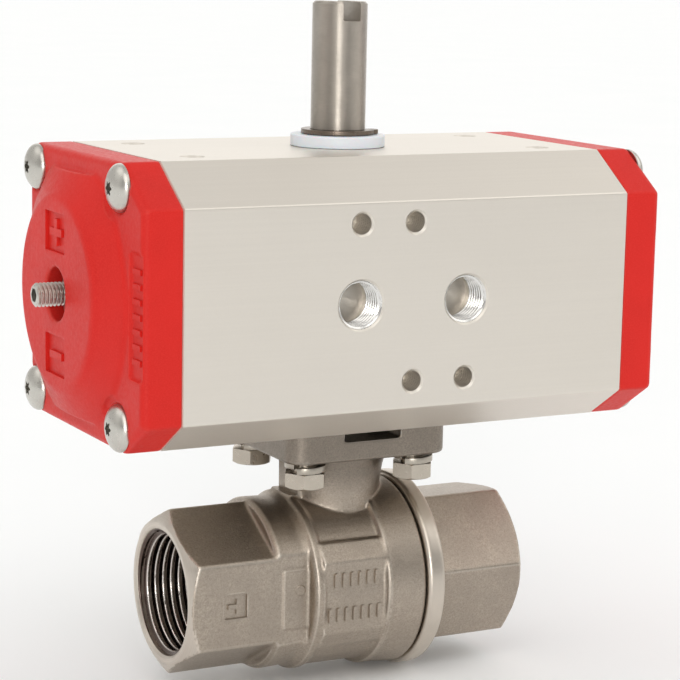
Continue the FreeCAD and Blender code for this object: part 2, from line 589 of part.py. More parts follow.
def valve_retainer():
    collar = lathe_x([(COLLAR_X0, 0), (COLLAR_X0, 20.6), (COLLAR_X0 + 0.6, COLLAR_R),
                      (COLLAR_X1 - 0.5, COLLAR_R), (COLLAR_X1, COLLAR_R - 0.5), (COLLAR_X1, 0)], FLOW_Z)
    spigot = disc(SPIGOT_R, (SPIGOT_X, 0, FLOW_Z), (COLLAR_X0 + CLEAR, 0, FLOW_Z))
    hexagon = hexagon_end(COLLAR_X1 - CLEAR, END_X, RETAINER_TURN)
    shape = fuse_all([collar, spigot, hexagon])
    tools = flow_bores(1) + [disc(CAVITY_R, (SPIGOT_X - CLEAR, 0, FLOW_Z), (9.5, 0, FLOW_Z))]
    save("valve_retainer", cut_all(shape, tools))


# ---------------------------------------------------------------- valve insides
def ball():
    solid = Part.makeSphere(BALL_R, FLOW_C)
    solid = solid.cut(disc(FLOW_R, (0, -20, FLOW_Z), (0, 20, FLOW_Z)))
    return solid.cut(box(-16, 16, -2.8, 2.8, FLOW_Z + 10.8, FLOW_Z + 16))


def seat(sign):
    solid = ring(SEAT_R, FLOW_R + 0.1, (sign * 9.3, 0, FLOW_Z), (sign * (SEAT_X - 0.02), 0, FLOW_Z))
    return solid.cut(Part.makeSphere(BALL_R + RUNNING, FLOW_C))


def stem():
    z = FLOW_Z
    body = lathe_z([(0, z + 15.4), (6.9, z + 15.4), (6.9, z + 17.55), (STEM_R, z + 17.56),
                    (STEM_R, PAD_Z + 9.6), (STEM_R - 0.5, PAD_Z + 10.1), (0, PAD_Z + 10.1)])
    half = SQUARE / 2
    square = box(-half, half, -half, half, PAD_Z - 0.9, PAD_Z + 11)
    above = disc(STEM_R + CLEAR, (0, 0, PAD_Z - 0.9), (0, 0, PAD_Z + 11))
    body = body.cut(above.cut(square))
    tang = box(-5.2, 5.2, -2.65, 2.65, z + 11.2, z + 16)
    return body.fuse(tang).removeSplitter()


def packing_rings():
    z, pitch, count = FLOW_Z + 19.6, 2.0, 3
    rings = []
    for k in range(count):
        low = z + k * pitch
        inner, outer = STEM_R + 0.05, GLAND_R
        rings.append(lathe_z([(inner, low), (outer, low), (outer, low + pitch - 0.02),
                              (inner, low + pitch - 0.02)]))
    return Part.makeCompound(rings)


def disc_springs():
    """Two coned spring washers, the lower one cupped up and the upper one cupped down."""
    low = PAD_Z - RECESS_D + 0.36
    inner, outer, thick, rise = STEM_R + 0.2, 8.6, 0.45, 0.25
    first = lathe_z([(inner, low), (outer, low + rise), (outer, low + rise + thick),
                     (inner, low + thick)])
    top = low + 2 * (thick + rise) + 0.02
    second = lathe_z([(inner, top), (outer, top - rise), (outer, top - rise - thick),
                      (inner, top - thick)])
    return Part.makeCompound([first, second])


def valve_pieces():
    valve_body()
    valve_retainer()
    save("valve_ball", ball())
    for side, sign in sides():
        save(side + "_seat", seat(sign))
    save("body_gasket", ring(SPIGOT_R, CAVITY_R, (8.12, 0, FLOW_Z), (8.68, 0, FLOW_Z)))
    save("valve_stem", stem())
    z = FLOW_Z
    save("stem_thrust_washer", ring(GLAND_R - 0.05, STEM_R + 0.1, (0, 0, z + 17.6), (0, 0, z + 18.38)))
    save("stem_packing", packing_rings())
    save("gland_ring", ring(GLAND_R - 0.05, STEM_R + 0.1, (0, 0, z + 25.6),
                            (0, 0, PAD_Z - RECESS_D + 0.3)))
    save("disc_springs", disc_springs())
    nut = hex_prism_z(8.0 / math.cos(math.pi / 6), 0, 0, PAD_Z - 5.1, PAD_Z - 1.1)
    save("stem_nut", nut.cut(disc(STEM_R + 0.01, (0, 0, PAD_Z - 6), (0, 0, PAD_Z))))


# ---------------------------------------------------------------- flange fasteners
def flange_bolt(x, y):
    top = PAD_Z - PAD_T - WASHER_T
    head = hex_prism_z(AF8_R, x, y, top - BOLT_HEAD_H, top)
    bevel = lathe_z([(x_r, z) for x_r, z in ((0, top - BOLT_HEAD_H), (AF8_R - 0.75, top - BOLT_HEAD_H),
                                             (AF8_R + 0.05, top - BOLT_HEAD_H + 0.5),
                                             (AF8_R + 0.05, top), (0, top))], x, y)
    return head.common(bevel).fuse(disc(M5_R, (x, y, top - CLEAR), (x, y, PAD_Z + 5.5)))


def lock_washer(x, y):
    """Split spring washer, drawn at its free height."""
    low, high = PAD_Z - PAD_T - WASHER_T, PAD_Z - PAD_T
    slit = turned(box(0, 6, -0.45, 0.45, low - CLEAR, high + CLEAR), 215)
    return ring(4.3, 2.6, (x, y, low), (x, y, high)).cut(moved(slit, x, y))


def flange_fasteners():
    places = corners_of(F03_OFFSET, F03_OFFSET)
    save("flange_bolts", Part.makeCompound([flange_bolt(x, y) for x, y in places]))
    save("lock_washers", Part.makeCompound([lock_washer(x, y) for x, y in places]))


actuator_body()
end_pieces()
shaft_pieces()
piston_pieces()
valve_pieces()
flange_fasteners()
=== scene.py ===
"""Looks of the rotary actuator and its ball valve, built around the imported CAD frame.

Lengths in this script are millimetres in the frame's own axes, unless a comment says metres. Pieces are
made in millimetres and scaled to metres when they are placed on their body.
"""
import json
import math

import bmesh
import bpy
import numpy as np
from mathutils import Matrix, Vector

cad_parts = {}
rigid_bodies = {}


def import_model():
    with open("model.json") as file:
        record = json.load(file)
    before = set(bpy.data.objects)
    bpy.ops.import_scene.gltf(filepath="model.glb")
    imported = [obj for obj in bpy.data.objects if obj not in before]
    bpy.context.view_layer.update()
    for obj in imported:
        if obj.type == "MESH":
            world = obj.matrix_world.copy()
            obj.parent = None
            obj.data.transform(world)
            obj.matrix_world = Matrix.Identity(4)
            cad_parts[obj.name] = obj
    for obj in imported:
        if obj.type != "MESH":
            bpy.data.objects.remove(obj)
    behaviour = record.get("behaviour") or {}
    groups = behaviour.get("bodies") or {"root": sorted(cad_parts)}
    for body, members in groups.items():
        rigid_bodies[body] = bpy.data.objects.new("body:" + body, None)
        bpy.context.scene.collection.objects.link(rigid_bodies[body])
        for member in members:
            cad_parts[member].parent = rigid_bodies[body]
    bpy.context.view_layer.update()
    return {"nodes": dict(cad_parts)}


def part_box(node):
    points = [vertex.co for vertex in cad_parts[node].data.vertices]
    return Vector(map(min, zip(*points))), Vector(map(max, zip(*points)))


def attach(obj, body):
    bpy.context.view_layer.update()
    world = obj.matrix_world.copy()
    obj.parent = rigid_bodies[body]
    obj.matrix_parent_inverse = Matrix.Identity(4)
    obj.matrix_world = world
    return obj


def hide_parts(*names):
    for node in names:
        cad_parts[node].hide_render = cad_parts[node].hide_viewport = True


for leftover in list(bpy.data.objects):
    bpy.data.objects.remove(leftover)

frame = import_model()
MM = 0.001


def node_box(name):
    """Lowest and highest corner of a CAD node, in millimetres."""
    low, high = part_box(name)
    return low / MM, high / MM


# ---------------------------------------------------------------- sizes, from the frame where it has them
BODY_LOW, BODY_HIGH = node_box("actuator_body")
PAD_Z = BODY_LOW.z                                  # the actuator's foot and the valve's pad meet here
BODY_TOP = BODY_HIGH.z
BORE_Z = (PAD_Z + BODY_TOP) / 2
FRONT_Y = BODY_LOW.y
VALVE_LOW = node_box("valve_body")[0]
FLOW_Z = sum(node_box("valve_ball")[i].z for i in (0, 1)) / 2
VALVE_END = -VALVE_LOW.x
CAP_DOME_X = node_box("right_end_cap")[1].x
SCREW_HEAD_TOP = node_box("right_cap_screws")[1].x
SCREW_TIP_X = node_box("right_stroke_screw")[1].x
RING_LOW, RING_HIGH = node_box("shaft_spacer_ring")
BOLT_LOW = node_box("flange_bolts")[0].z
WASHER_LOW, WASHER_HIGH = node_box("lock_washers")

# ---------------------------------------------------------------- sizes of the added detail
# root, crest and wall are radii; wall is the plain outside of a threaded sleeve
PIPE_THREAD = {"root": 13.24, "crest": 12.15, "pitch": 1.814, "wall": 13.45}
PORT_THREAD = {"root": 4.86, "crest": 4.3, "pitch": 0.907, "wall": 4.9}
M5_HOLE_THREAD = {"root": 2.36, "crest": 2.1, "pitch": 0.8, "wall": 2.5}
M5_ROD = {"root": 2.0, "crest": 2.45, "pitch": 0.8}
PORT_X = 12.0
PORT_MOUTH_R, PORT_BORE_R = 5.25, 4.864
PORT_DEPTH, PORT_RUNOUT = 8.6, 1.4
SCREW_Z = 16.0                                      # screw holes beside the ports, from their middle
M5_MOUTH, M5_FRONT_END, M5_TOP_END = 0.45, 6.6, 5.7 # depths where the small threads start and end
BRACKET = (40.0, 15.0)
CAP_SCREW = (22.3, 23.3)
CAP_FACE_X = 58.5
MARK_AT = 12.4                                      # height of the dome's marks above and below its middle
MARK_WIDE, MARK_HIGH, MARK_THICK = 3.2, 2.7, 0.75   # half sizes of the plus and the minus
POCKET_WIDE, POCKET_HIGH, POCKET_DEEP = 5.3, 4.0, 0.75
RIB_Y = (-32.5, -28.7)
RIB_PITCH, RIB_HALF, RIB_MIDDLE_Z = 2.9, 0.55, BORE_Z - 0.35
HEAD_R, HEAD_H = 4.75, SCREW_HEAD_TOP - 57.9
STOP_INNER_X = 49.3                                 # where the modelled stroke screw begins
BOLT_AT = 18.0 / math.sqrt(2)
BOLT_R = 2.45
FLAT_Y, PANEL_Y = -15.5, -18.5                      # the hexagon's front flat and the barrel's panel
ARROW_X = -29.4                                     # middle of the sunk square with the arrow
BAR_PITCH, BAR_WIDE, BAR_HIGH = 1.9, 0.85, 3.1
AF8_R = 4.0 / math.cos(math.pi / 6)
FLOOR_Z, FLOOR_HALF = -0.05, 30000.0
STEP = 1                       # coarser meshes while trying things


# ---------------------------------------------------------------- mesh helpers
def new_object(name, verts, faces):
    """A mesh object with its faces turned outwards."""
    mesh = bpy.data.meshes.new(name)
    mesh.from_pydata([tuple(v) for v in verts], [], [tuple(f) for f in faces])
    obj = bpy.data.objects.new(name, mesh)
    bpy.context.scene.collection.objects.link(obj)
    outward(obj)
    return obj


def outward(obj):
    """Turns all faces outwards."""
    work = bmesh.new()
    work.from_mesh(obj.data)
    bmesh.ops.recalc_face_normals(work, faces=work.faces)
    work.to_mesh(obj.data)
    work.free()


def apply_modifiers(obj):
    graph = bpy.context.evaluated_depsgraph_get()
    mesh = bpy.data.meshes.new_from_object(obj.evaluated_get(graph))
    obj.modifiers.clear()
    obj.data = mesh
    return obj


def modify(obj, kind, **settings):
    """Adds one modifier to obj and applies it."""
    modifier = obj.modifiers.new(kind.lower(), kind)
    for key, value in settings.items():
        setattr(modifier, key, value)
    return apply_modifiers(obj)


def combine(obj, tools, operation):
    """Cuts, joins or intersects obj with closed tools, which are used up."""
    for tool in tools:
        modify(obj, "BOOLEAN", object=tool, operation=operation, solver="MANIFOLD")
        bpy.data.objects.remove(tool)
    return obj


def cut(obj, *tools):
    return combine(obj, tools, "DIFFERENCE")


def merged(name, objs):
    """One object from several closed ones."""
    work = bmesh.new()
    for obj in objs:
        work.from_mesh(obj.data)
        bpy.data.objects.remove(obj)
    mesh = bpy.data.meshes.new(name)
    work.to_mesh(mesh)
    work.free()
    obj = bpy.data.objects.new(name, mesh)
    bpy.context.scene.collection.objects.link(obj)
    return obj


def crease(obj, degrees=32.0):
    """Smooth shading, sharp where faces meet at more than this angle."""
    obj.data.shade_smooth()
    obj.data.set_sharp_from_angle(angle=math.radians(degrees))
    return obj


def frame_of(axis):
    """Three directions: along the named axis, and the two across it."""
    along = {"x": Vector((1, 0, 0)), "y": Vector((0, 1, 0)), "z": Vector((0, 0, 1))}[axis]
    first = {"x": Vector((0, 1, 0)), "y": Vector((0, 0, 1)), "z": Vector((1, 0, 0))}[axis]
    return np.array(along), np.array(first), np.array(along.cross(first))


def surface_rows(name, axis, centre, heights, radii, closed):
    """A surface of revolution whose radius may change with the angle. radii is rows by angles."""
    along, first, second = frame_of(axis)
    count = radii.shape[1]
    angles = np.arange(count) * 2 * math.pi / count
    spokes = np.outer(np.cos(angles), first) + np.outer(np.sin(angles), second)
    verts, rows = [], []
    for height, row in zip(heights, radii):
        start = np.array(centre, float) + along * height
        if row.max() < 1e-9:
            rows.append([len(verts)] * count)
            verts.append(start)
        else:
            rows.append(list(range(len(verts), len(verts) + count)))
            verts.extend(start + spokes * row[:, None])
    faces = []
    for a, b in zip(rows, rows[1:] + (rows[:1] if closed else [])):
        for k in range(count):
            n = (k + 1) % count
            corners = [a[k], a[n], b[n], b[k]]
            faces.append(list(dict.fromkeys(corners)))
    return new_object(name, verts, [f for f in faces if len(f) > 2])


def lathe(name, profile, axis="z", centre=(0, 0, 0), count=96, closed=False):
    """A turned solid from (height, radius) points; closed is for a ring that misses its axis."""
    heights = [h for h, r in profile]
    radii = np.repeat(np.array([[r] for h, r in profile], float), count, axis=1)
    return surface_rows(name, axis, centre, heights, radii, closed)


def rounded(profile, radius, steps=4):
    """The same closed profile with its corners rounded by at most radius."""
    points = [Vector(p) for p in profile]
    out = []
    for i, corner in enumerate(points):
        before, after = points[i - 1] - corner, points[(i + 1) % len(points)] - corner
        reach = min(radius, before.length * 0.45, after.length * 0.45)
        a, b = corner + before.normalized() * reach, corner + after.normalized() * reach
        for k in range(steps + 1):
            t = k / steps
            out.append(tuple(a * (1 - t) ** 2 + corner * 2 * t * (1 - t) + b * t ** 2))
    return out


def prism(name, outline, axis, low, high, centre=(0, 0, 0)):
    """An outline in the plane across the axis, pushed from low to high."""
    along, first, second = frame_of(axis)
    base = np.array(centre, float)
    verts = [base + along * h + first * u + second * v for h in (low, high) for u, v in outline]
    n = len(outline)
    faces = [list(range(n)), list(range(2 * n - 1, n - 1, -1))]
    faces += [[k, (k + 1) % n, n + (k + 1) % n, n + k] for k in range(n)]
    return new_object(name, verts, faces)


def polygon(count, radius, turn=0.0):
    return [(radius * math.cos(2 * math.pi * k / count + turn),
             radius * math.sin(2 * math.pi * k / count + turn)) for k in range(count)]


def block(name, x0, x1, y0, y1, z0, z1):
    return prism(name, [(x0, y0), (x1, y0), (x1, y1), (x0, y1)], "z", z0, z1)


def thread_radii(heights, thread, count, left_end, right_end, lead):
    """Radius at each height and angle of a thread that fades out over lead at both ends."""
    angle = np.arange(count) / count
    phase = (heights[:, None] / thread["pitch"] - angle[None, :]) % 1.0
    ridge = np.clip((1 - np.abs(2 * phase - 1) - 0.14) / 0.72, 0, 1)
    ridge = ridge * ridge * (3 - 2 * ridge)
    fade = np.clip(np.minimum(heights - left_end, right_end - heights) / lead, 0, 1)
    return thread["root"] + (thread["crest"] - thread["root"]) * ridge * fade[:, None]


def inner_thread(name, axis, centre, start, end, thread, count):
    """A threaded sleeve: threads inside, plain outside."""
    steps = int(round((end - start) / thread["pitch"] * 12 / STEP))
    heights = np.linspace(start, end, steps)
    inner = thread_radii(heights, thread, count, start, end, thread["pitch"] * 0.7)
    outer = np.full((2, count), thread["wall"])
    return surface_rows(name, axis, centre, np.concatenate([heights, [end, start]]),
                        np.concatenate([inner, outer]), True)


def threaded_rod(name, axis, centre, start, end, thread, count=48):
    """A solid rod with a thread outside and a chamfer at both ends."""
    steps = int(round((end - start) / thread["pitch"] * 12 / STEP))
    heights = np.linspace(start, end, steps)
    radii = thread_radii(heights, thread, count, start - 1, end + 1, 0.1)
    chamfer = 0.55 * thread["crest"] + np.minimum(heights - start, end - heights) * 1.2 + 0.6
    radii = np.minimum(radii, chamfer[:, None])
    poles = np.zeros((1, count))
    return surface_rows(name, axis, centre, np.concatenate([[start], heights, [end]]),
                        np.concatenate([poles, radii, poles]), False)


# ---------------------------------------------------------------- soft copies of castings
def copy_of(node, name):
    """A copy of a CAD node's mesh, in millimetres, with its split corners joined."""
    obj = bpy.data.objects.new(name, frame["nodes"][node].data.copy())
    obj.data.transform(Matrix.Scale(1 / MM, 4))
    bpy.context.scene.collection.objects.link(obj)
    work = bmesh.new()
    work.from_mesh(obj.data)
    bmesh.ops.remove_doubles(work, verts=work.verts, dist=1e-4)
    work.to_mesh(obj.data)
    work.free()
    return obj


def vertex_values(obj, key):
    """One row of three numbers for each vertex."""
    values = np.empty(len(obj.data.vertices) * 3)
    obj.data.vertices.foreach_get(key, values)
    return values.reshape(-1, 3)


def voxel_cast(obj, voxel, rounds, keep=None):
    """Remeshes obj evenly and smooths its edges, except where keep(points) is true.

    How far the smoothing drew a corner in is stored as an attribute, for the finish to paint as a highlight
    along the edges.
    """
    modify(obj, "REMESH", mode="VOXEL", voxel_size=voxel * STEP, use_smooth_shade=True)
    before = vertex_values(obj, "co")
    free = np.ones(len(before), bool) if keep is None else ~keep(before)
    group = obj.vertex_groups.new(name="free")
    group.add(np.flatnonzero(free).tolist(), 1.0, "REPLACE")
    modify(obj, "SMOOTH", factor=0.5, iterations=max(1, rounds // STEP), vertex_group="free")
    obj.vertex_groups.clear()
    drawn_in = np.sum((before - vertex_values(obj, "co")) * vertex_values(obj, "normal"), axis=1)
    painted_highlight = obj.data.attributes.new("painted_highlight", "FLOAT", "POINT")
    painted_highlight.data.foreach_set("value", np.clip(drawn_in / (0.4 * voxel * STEP), 0, 1))
    return obj


# ---------------------------------------------------------------- placing pieces
def place(obj, body, slot, *materials, replaced=()):
    """Scales a finished piece to metres, gives it its finish and puts it on its body."""
    obj.data.transform(Matrix.Scale(MM, 4))
    obj.data.materials.clear()
    for material in materials:
        obj.data.materials.append(material)
    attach(obj, body)
    if replaced:
        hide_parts(*replaced)
    return obj


# ---------------------------------------------------------------- materials
class Finish:
    """A material made of procedural nodes, with coordinates in millimetres."""

    def __init__(self, name, metallic, roughness, **shader):
        self.material = bpy.data.materials.new(name)
        self.material.use_nodes = True
        self.tree = self.material.node_tree
        self.tree.nodes.clear()
        self.shader = self.node("ShaderNodeBsdfPrincipled")
        self.shader.inputs["Metallic"].default_value = metallic
        self.shader.inputs["Roughness"].default_value = roughness
        for key, value in shader.items():
            self.shader.inputs[key.replace("_", " ")].default_value = value
        output = self.node("ShaderNodeOutputMaterial")
        self.link(self.shader.outputs["BSDF"], output.inputs["Surface"])
        metres = self.node("ShaderNodeTexCoord").outputs["Object"]
        scale = self.node("ShaderNodeVectorMath", operation="SCALE")
        self.link(metres, scale.inputs[0])
        scale.inputs["Scale"].default_value = 1 / MM
        self.coords = scale.outputs["Vector"]
        self.normal = None

    def node(self, kind, **settings):
        made = self.tree.nodes.new(kind)
        for key, value in settings.items():
            setattr(made, key, value)
        return made

    def link(self, output, socket):
        self.tree.links.new(output, socket)

    def stretched(self, stretch):
        warp = self.node("ShaderNodeVectorMath", operation="MULTIPLY")
        self.link(self.coords, warp.inputs[0])
        warp.inputs[1].default_value = stretch
        return warp.outputs["Vector"]

    def noise(self, scale, detail=3.0, stretch=(1, 1, 1), rough=0.55, distort=0.0):
        """Noise with scale features per millimetre, stretched by the three factors."""
        made = self.node("ShaderNodeTexNoise")
        self.link(self.stretched(stretch), made.inputs["Vector"])
        made.inputs["Scale"].default_value = scale
        made.inputs["Detail"].default_value = detail
        made.inputs["Roughness"].default_value = rough
        made.inputs["Distortion"].default_value = distort
        return made.outputs["Fac"]

    def distance(self, axis_point, across):
        """Distance from an axis in millimetres; across holds 1 for the two directions across it."""
        shift = self.node("ShaderNodeVectorMath", operation="SUBTRACT")
        self.link(self.coords, shift.inputs[0])
        shift.inputs[1].default_value = axis_point
        flat = self.node("ShaderNodeVectorMath", operation="MULTIPLY")
        self.link(shift.outputs["Vector"], flat.inputs[0])
        flat.inputs[1].default_value = across
        length = self.node("ShaderNodeVectorMath", operation="LENGTH")
        self.link(flat.outputs["Vector"], length.inputs[0])
        return length.outputs["Value"]

    def rings(self, axis_point, across, scale):
        """Noise that changes only with the distance from an axis."""
        made = self.node("ShaderNodeTexNoise", noise_dimensions="1D")
        self.link(self.distance(axis_point, across), made.inputs["W"])
        made.inputs["Scale"].default_value = scale
        made.inputs["Detail"].default_value = 2.0
        return made.outputs["Fac"]

    def remap(self, value, low, high, start=0.3, end=0.7):
        """Turns a value between start and end into one between low and high."""
        made = self.node("ShaderNodeMapRange")
        self.link(value, made.inputs["Value"])
        for key, number in (("From Min", start), ("From Max", end), ("To Min", low), ("To Max", high)):
            made.inputs[key].default_value = number
        return made.outputs["Result"]

    def blend(self, share, first, second):
        """Mixes two colours, each a value or a socket; the share may be either too."""
        made = self.node("ShaderNodeMix", data_type="RGBA")
        if isinstance(share, float):
            made.inputs["Factor"].default_value = share
        else:
            self.link(share, made.inputs["Factor"])
        for socket, colour in ((made.inputs[6], first), (made.inputs[7], second)):
            if isinstance(colour, tuple):
                socket.default_value = (*colour, 1.0)
            else:
                self.link(colour, socket)
        return made.outputs[2]

    def colour(self, socket):
        self.link(socket, self.shader.inputs["Base Color"])

    def roughness(self, socket):
        self.link(socket, self.shader.inputs["Roughness"])

    def add_bump(self, height, depth, strength=1.0):
        """Stacks a bump of this depth, in millimetres."""
        made = self.node("ShaderNodeBump")
        made.inputs["Strength"].default_value = strength
        made.inputs["Distance"].default_value = depth * MM
        self.link(height, made.inputs["Height"])
        if self.normal is not None:
            self.link(self.normal, made.inputs["Normal"])
        self.normal = made.outputs["Normal"]
        self.link(self.normal, self.shader.inputs["Normal"])

    def spread_along_z(self, amount):
        """Ground round the Z axis, so that highlights stretch along it."""
        self.shader.inputs["Anisotropic"].default_value = amount
        self.shader.inputs["Anisotropic Rotation"].default_value = 0.25
        tangent = self.node("ShaderNodeTangent", direction_type="RADIAL", axis="Z")
        self.link(tangent.outputs["Tangent"], self.shader.inputs["Tangent"])

    def above(self, low, high):
        """0 below the first height and 1 above the second, in millimetres."""
        parts = self.node("ShaderNodeSeparateXYZ")
        self.link(self.coords, parts.inputs["Vector"])
        return self.remap(parts.outputs["Z"], 0.0, 1.0, low, high)

    def painted_edge_highlight(self, colour, painted_highlight, most):
        """Paints a highlight on the edges that voxel_cast marked."""
        mark = self.node("ShaderNodeAttribute", attribute_name="painted_highlight").outputs["Fac"]
        return self.blend(self.remap(mark, 0.0, most, 0.12, 0.6), colour, painted_highlight)


def shade_of(colour, factor):
    """The same colour, lighter or darker."""
    return tuple(min(1.0, c * factor) for c in colour)


def plain_finish(name, colour, metallic, roughness, grain=2.0, depth=0.01, spread=0.08,
                 stretch=(1, 1, 1), **shader):
    """Two-scale tone variation, uneven gloss and a fine grain."""
    finish = Finish(name, metallic, roughness, **shader)
    broad = finish.remap(finish.noise(0.09, 4.0), 0.0, 1.0)
    fine = finish.remap(finish.noise(grain, 3.0, stretch), 0.0, 1.0)
    tone = finish.blend(broad, shade_of(colour, 1 - spread), shade_of(colour, 1 + spread * 0.6))
    share = finish.remap(fine, 0.0, 0.35, 0.0, 1.0)
    finish.colour(finish.blend(share, tone, shade_of(colour, 1 - spread * 1.6)))
    finish.roughness(finish.remap(finish.noise(grain * 0.4, 4.0, stretch), roughness * 0.85,
                                  roughness * 1.18))
    finish.add_bump(finish.noise(grain, 4.0, stretch), depth)
    return finish


def housing_finish():
    """Satin anodised extrusion: faint lines along X and a very fine matt grain."""
    colour = (0.76, 0.715, 0.65)
    finish = Finish("satin_anodised_extrusion", 0.85, 0.42)
    broad = finish.remap(finish.noise(0.02, 3.0, (0.6, 1, 1)), 0.0, 1.0)
    lines = finish.noise(1.6, 3.0, (0.006, 1, 1))
    tone = finish.blend(broad, shade_of(colour, 0.97), shade_of(colour, 1.03))
    tone = finish.blend(finish.remap(lines, 0.0, 0.5), tone, shade_of(colour, 0.955))
    finish.colour(tone)
    finish.roughness(finish.remap(finish.noise(2.4, 4.0), 0.38, 0.47))
    finish.add_bump(lines, 0.006, 0.6)
    finish.add_bump(finish.noise(7.0, 3.0), 0.006, 0.7)
    return finish.material


def cap_finish():
    """Red powder coat with a slight orange peel and a painted highlight on its rounded edges."""
    colour = (0.62, 0.019, 0.014)
    finish = Finish("red_powder_coat", 0.0, 0.4, Specular_IOR_Level=0.16)
    broad = finish.remap(finish.noise(0.06, 4.0), 0.0, 1.0)
    tone = finish.blend(broad, shade_of(colour, 0.93), shade_of(colour, 1.05))
    speck = finish.remap(finish.noise(3.2, 4.0), 0.0, 0.5, 0.42, 0.68)
    tone = finish.blend(speck, tone, (0.68, 0.036, 0.028))
    # painted highlight: a paler red along the rounded edges
    finish.colour(finish.painted_edge_highlight(tone, (0.74, 0.085, 0.065), 0.5))
    finish.roughness(finish.remap(finish.noise(1.2, 4.0), 0.34, 0.5))
    finish.add_bump(finish.noise(0.9, 2.0), 0.035, 0.6)
    finish.add_bump(finish.noise(4.5, 3.0), 0.02, 0.8)
    return finish.material


def casting_finish():
    """Blasted investment casting: brownish grey, sandy, with a painted highlight on its edges and painted
    shade on the neck and pad under the actuator.
    """
    colour = (0.468, 0.404, 0.338)
    finish = Finish("blasted_steel_casting", 1.0, 0.4)
    broad = finish.remap(finish.noise(0.12, 5.0, distort=0.4), 0.0, 1.0)
    tone = finish.blend(broad, shade_of(colour, 0.86), shade_of(colour, 1.1))
    sand = finish.remap(finish.noise(2.1, 4.0, rough=0.75), 0.0, 1.0, 0.36, 0.64)
    tone = finish.blend(sand, shade_of(colour, 0.8), tone)
    pits = finish.remap(finish.noise(3.4, 4.0, rough=0.7), 0.0, 0.55, 0.5, 0.68)
    tone = finish.blend(pits, tone, shade_of(colour, 0.5))
    # painted highlight: a paler colour along the rounded edges
    tone = finish.painted_edge_highlight(tone, (0.78, 0.72, 0.64), 0.85)
    # painted shade: the neck and pad under the actuator body are darkened above FLOW_Z + 24
    painted_shade_under_body = finish.blend(0.62, (0.0, 0.0, 0.0), tone)
    finish.colour(finish.blend(finish.above(FLOW_Z + 19.5, FLOW_Z + 24.0), tone, painted_shade_under_body))
    finish.roughness(finish.remap(finish.noise(1.5, 4.0), 0.34, 0.5))
    finish.add_bump(finish.noise(0.55, 3.0), 0.06, 0.5)
    finish.add_bump(finish.noise(2.2, 4.0, rough=0.7), 0.055, 0.9)
    return finish.material


def turned_finish(name, colour, roughness, axis_point, across, depth=0.012):
    """Machined face with turning marks round an axis."""
    finish = Finish(name, 1.0, roughness)
    marks = finish.rings(axis_point, across, 5.0)
    broad = finish.remap(finish.noise(0.15, 4.0), 0.0, 1.0)
    tone = finish.blend(broad, shade_of(colour, 0.93), shade_of(colour, 1.05))
    finish.colour(finish.blend(finish.remap(marks, 0.0, 0.6), tone, shade_of(colour, 0.84)))
    finish.roughness(finish.remap(finish.noise(1.6, 4.0), roughness * 0.85, roughness * 1.25))
    finish.add_bump(marks, depth, 0.8)
    finish.add_bump(finish.noise(5.0, 3.0), 0.005, 0.6)
    return finish.material


def shaft_finish():
    """Ground stainless shaft: fine rings round it and a few handling marks."""
    colour = (0.53, 0.485, 0.43)
    finish = Finish("ground_stainless_shaft", 1.0, 0.5)
    rings = finish.noise(2.2, 3.0, (0.25, 0.25, 5.0))
    broad = finish.remap(finish.noise(0.16, 5.0, distort=0.6), 0.0, 1.0)
    tone = finish.blend(broad, shade_of(colour, 0.86), shade_of(colour, 1.08))
    finish.colour(finish.blend(finish.remap(rings, 0.0, 0.5), tone, shade_of(colour, 0.88)))
    finish.roughness(finish.remap(finish.noise(0.7, 5.0, (1, 1, 3.0)), 0.4, 0.5))
    finish.add_bump(rings, 0.008, 0.7)
    finish.add_bump(finish.noise(1.3, 4.0), 0.006, 0.5)
    finish.spread_along_z(1.0)
    return finish.material


def thread_finish(name, crest, valley, crest_r, valley_r, axis_point, across):
    """Cut thread: painted highlight along its crests, painted shade in its valleys."""
    finish = Finish(name, 1.0, 0.2)
    depth = finish.remap(finish.distance(axis_point, across), 0.0, 1.0, crest_r, valley_r)
    patchy = finish.remap(finish.noise(0.3, 4.0), 0.0, 0.35)
    # painted shade in the valleys and painted highlight on the crests, chosen by the distance from the axis
    painted_valley_shade = finish.blend(patchy, valley, shade_of(valley, 1.7))
    finish.colour(finish.blend(depth, crest, painted_valley_shade))
    finish.roughness(finish.remap(finish.noise(1.6, 4.0), 0.16, 0.3))
    finish.add_bump(finish.rings(axis_point, across, 5.0), 0.006, 0.8)
    return finish.material


FLOW_AXIS_POINT = (0.0, 0.0, FLOW_Z)
ACROSS_X = (0.0, 1.0, 1.0)
HOUSING = housing_finish()
CAP_RED = cap_finish()
CASTING = casting_finish()
MACHINED = turned_finish("turned_valve_end", (0.655, 0.592, 0.518), 0.34, FLOW_AXIS_POINT, ACROSS_X)
# the first colour is the crests' painted highlight, the second the valleys' painted shade
PIPE_STEEL = thread_finish("cut_pipe_thread", (0.80, 0.75, 0.70), (0.11, 0.082, 0.07),
                           PIPE_THREAD["crest"] + 0.05, PIPE_THREAD["crest"] + 0.3,
                           FLOW_AXIS_POINT, ACROSS_X)
SHAFT_STEEL = shaft_finish()

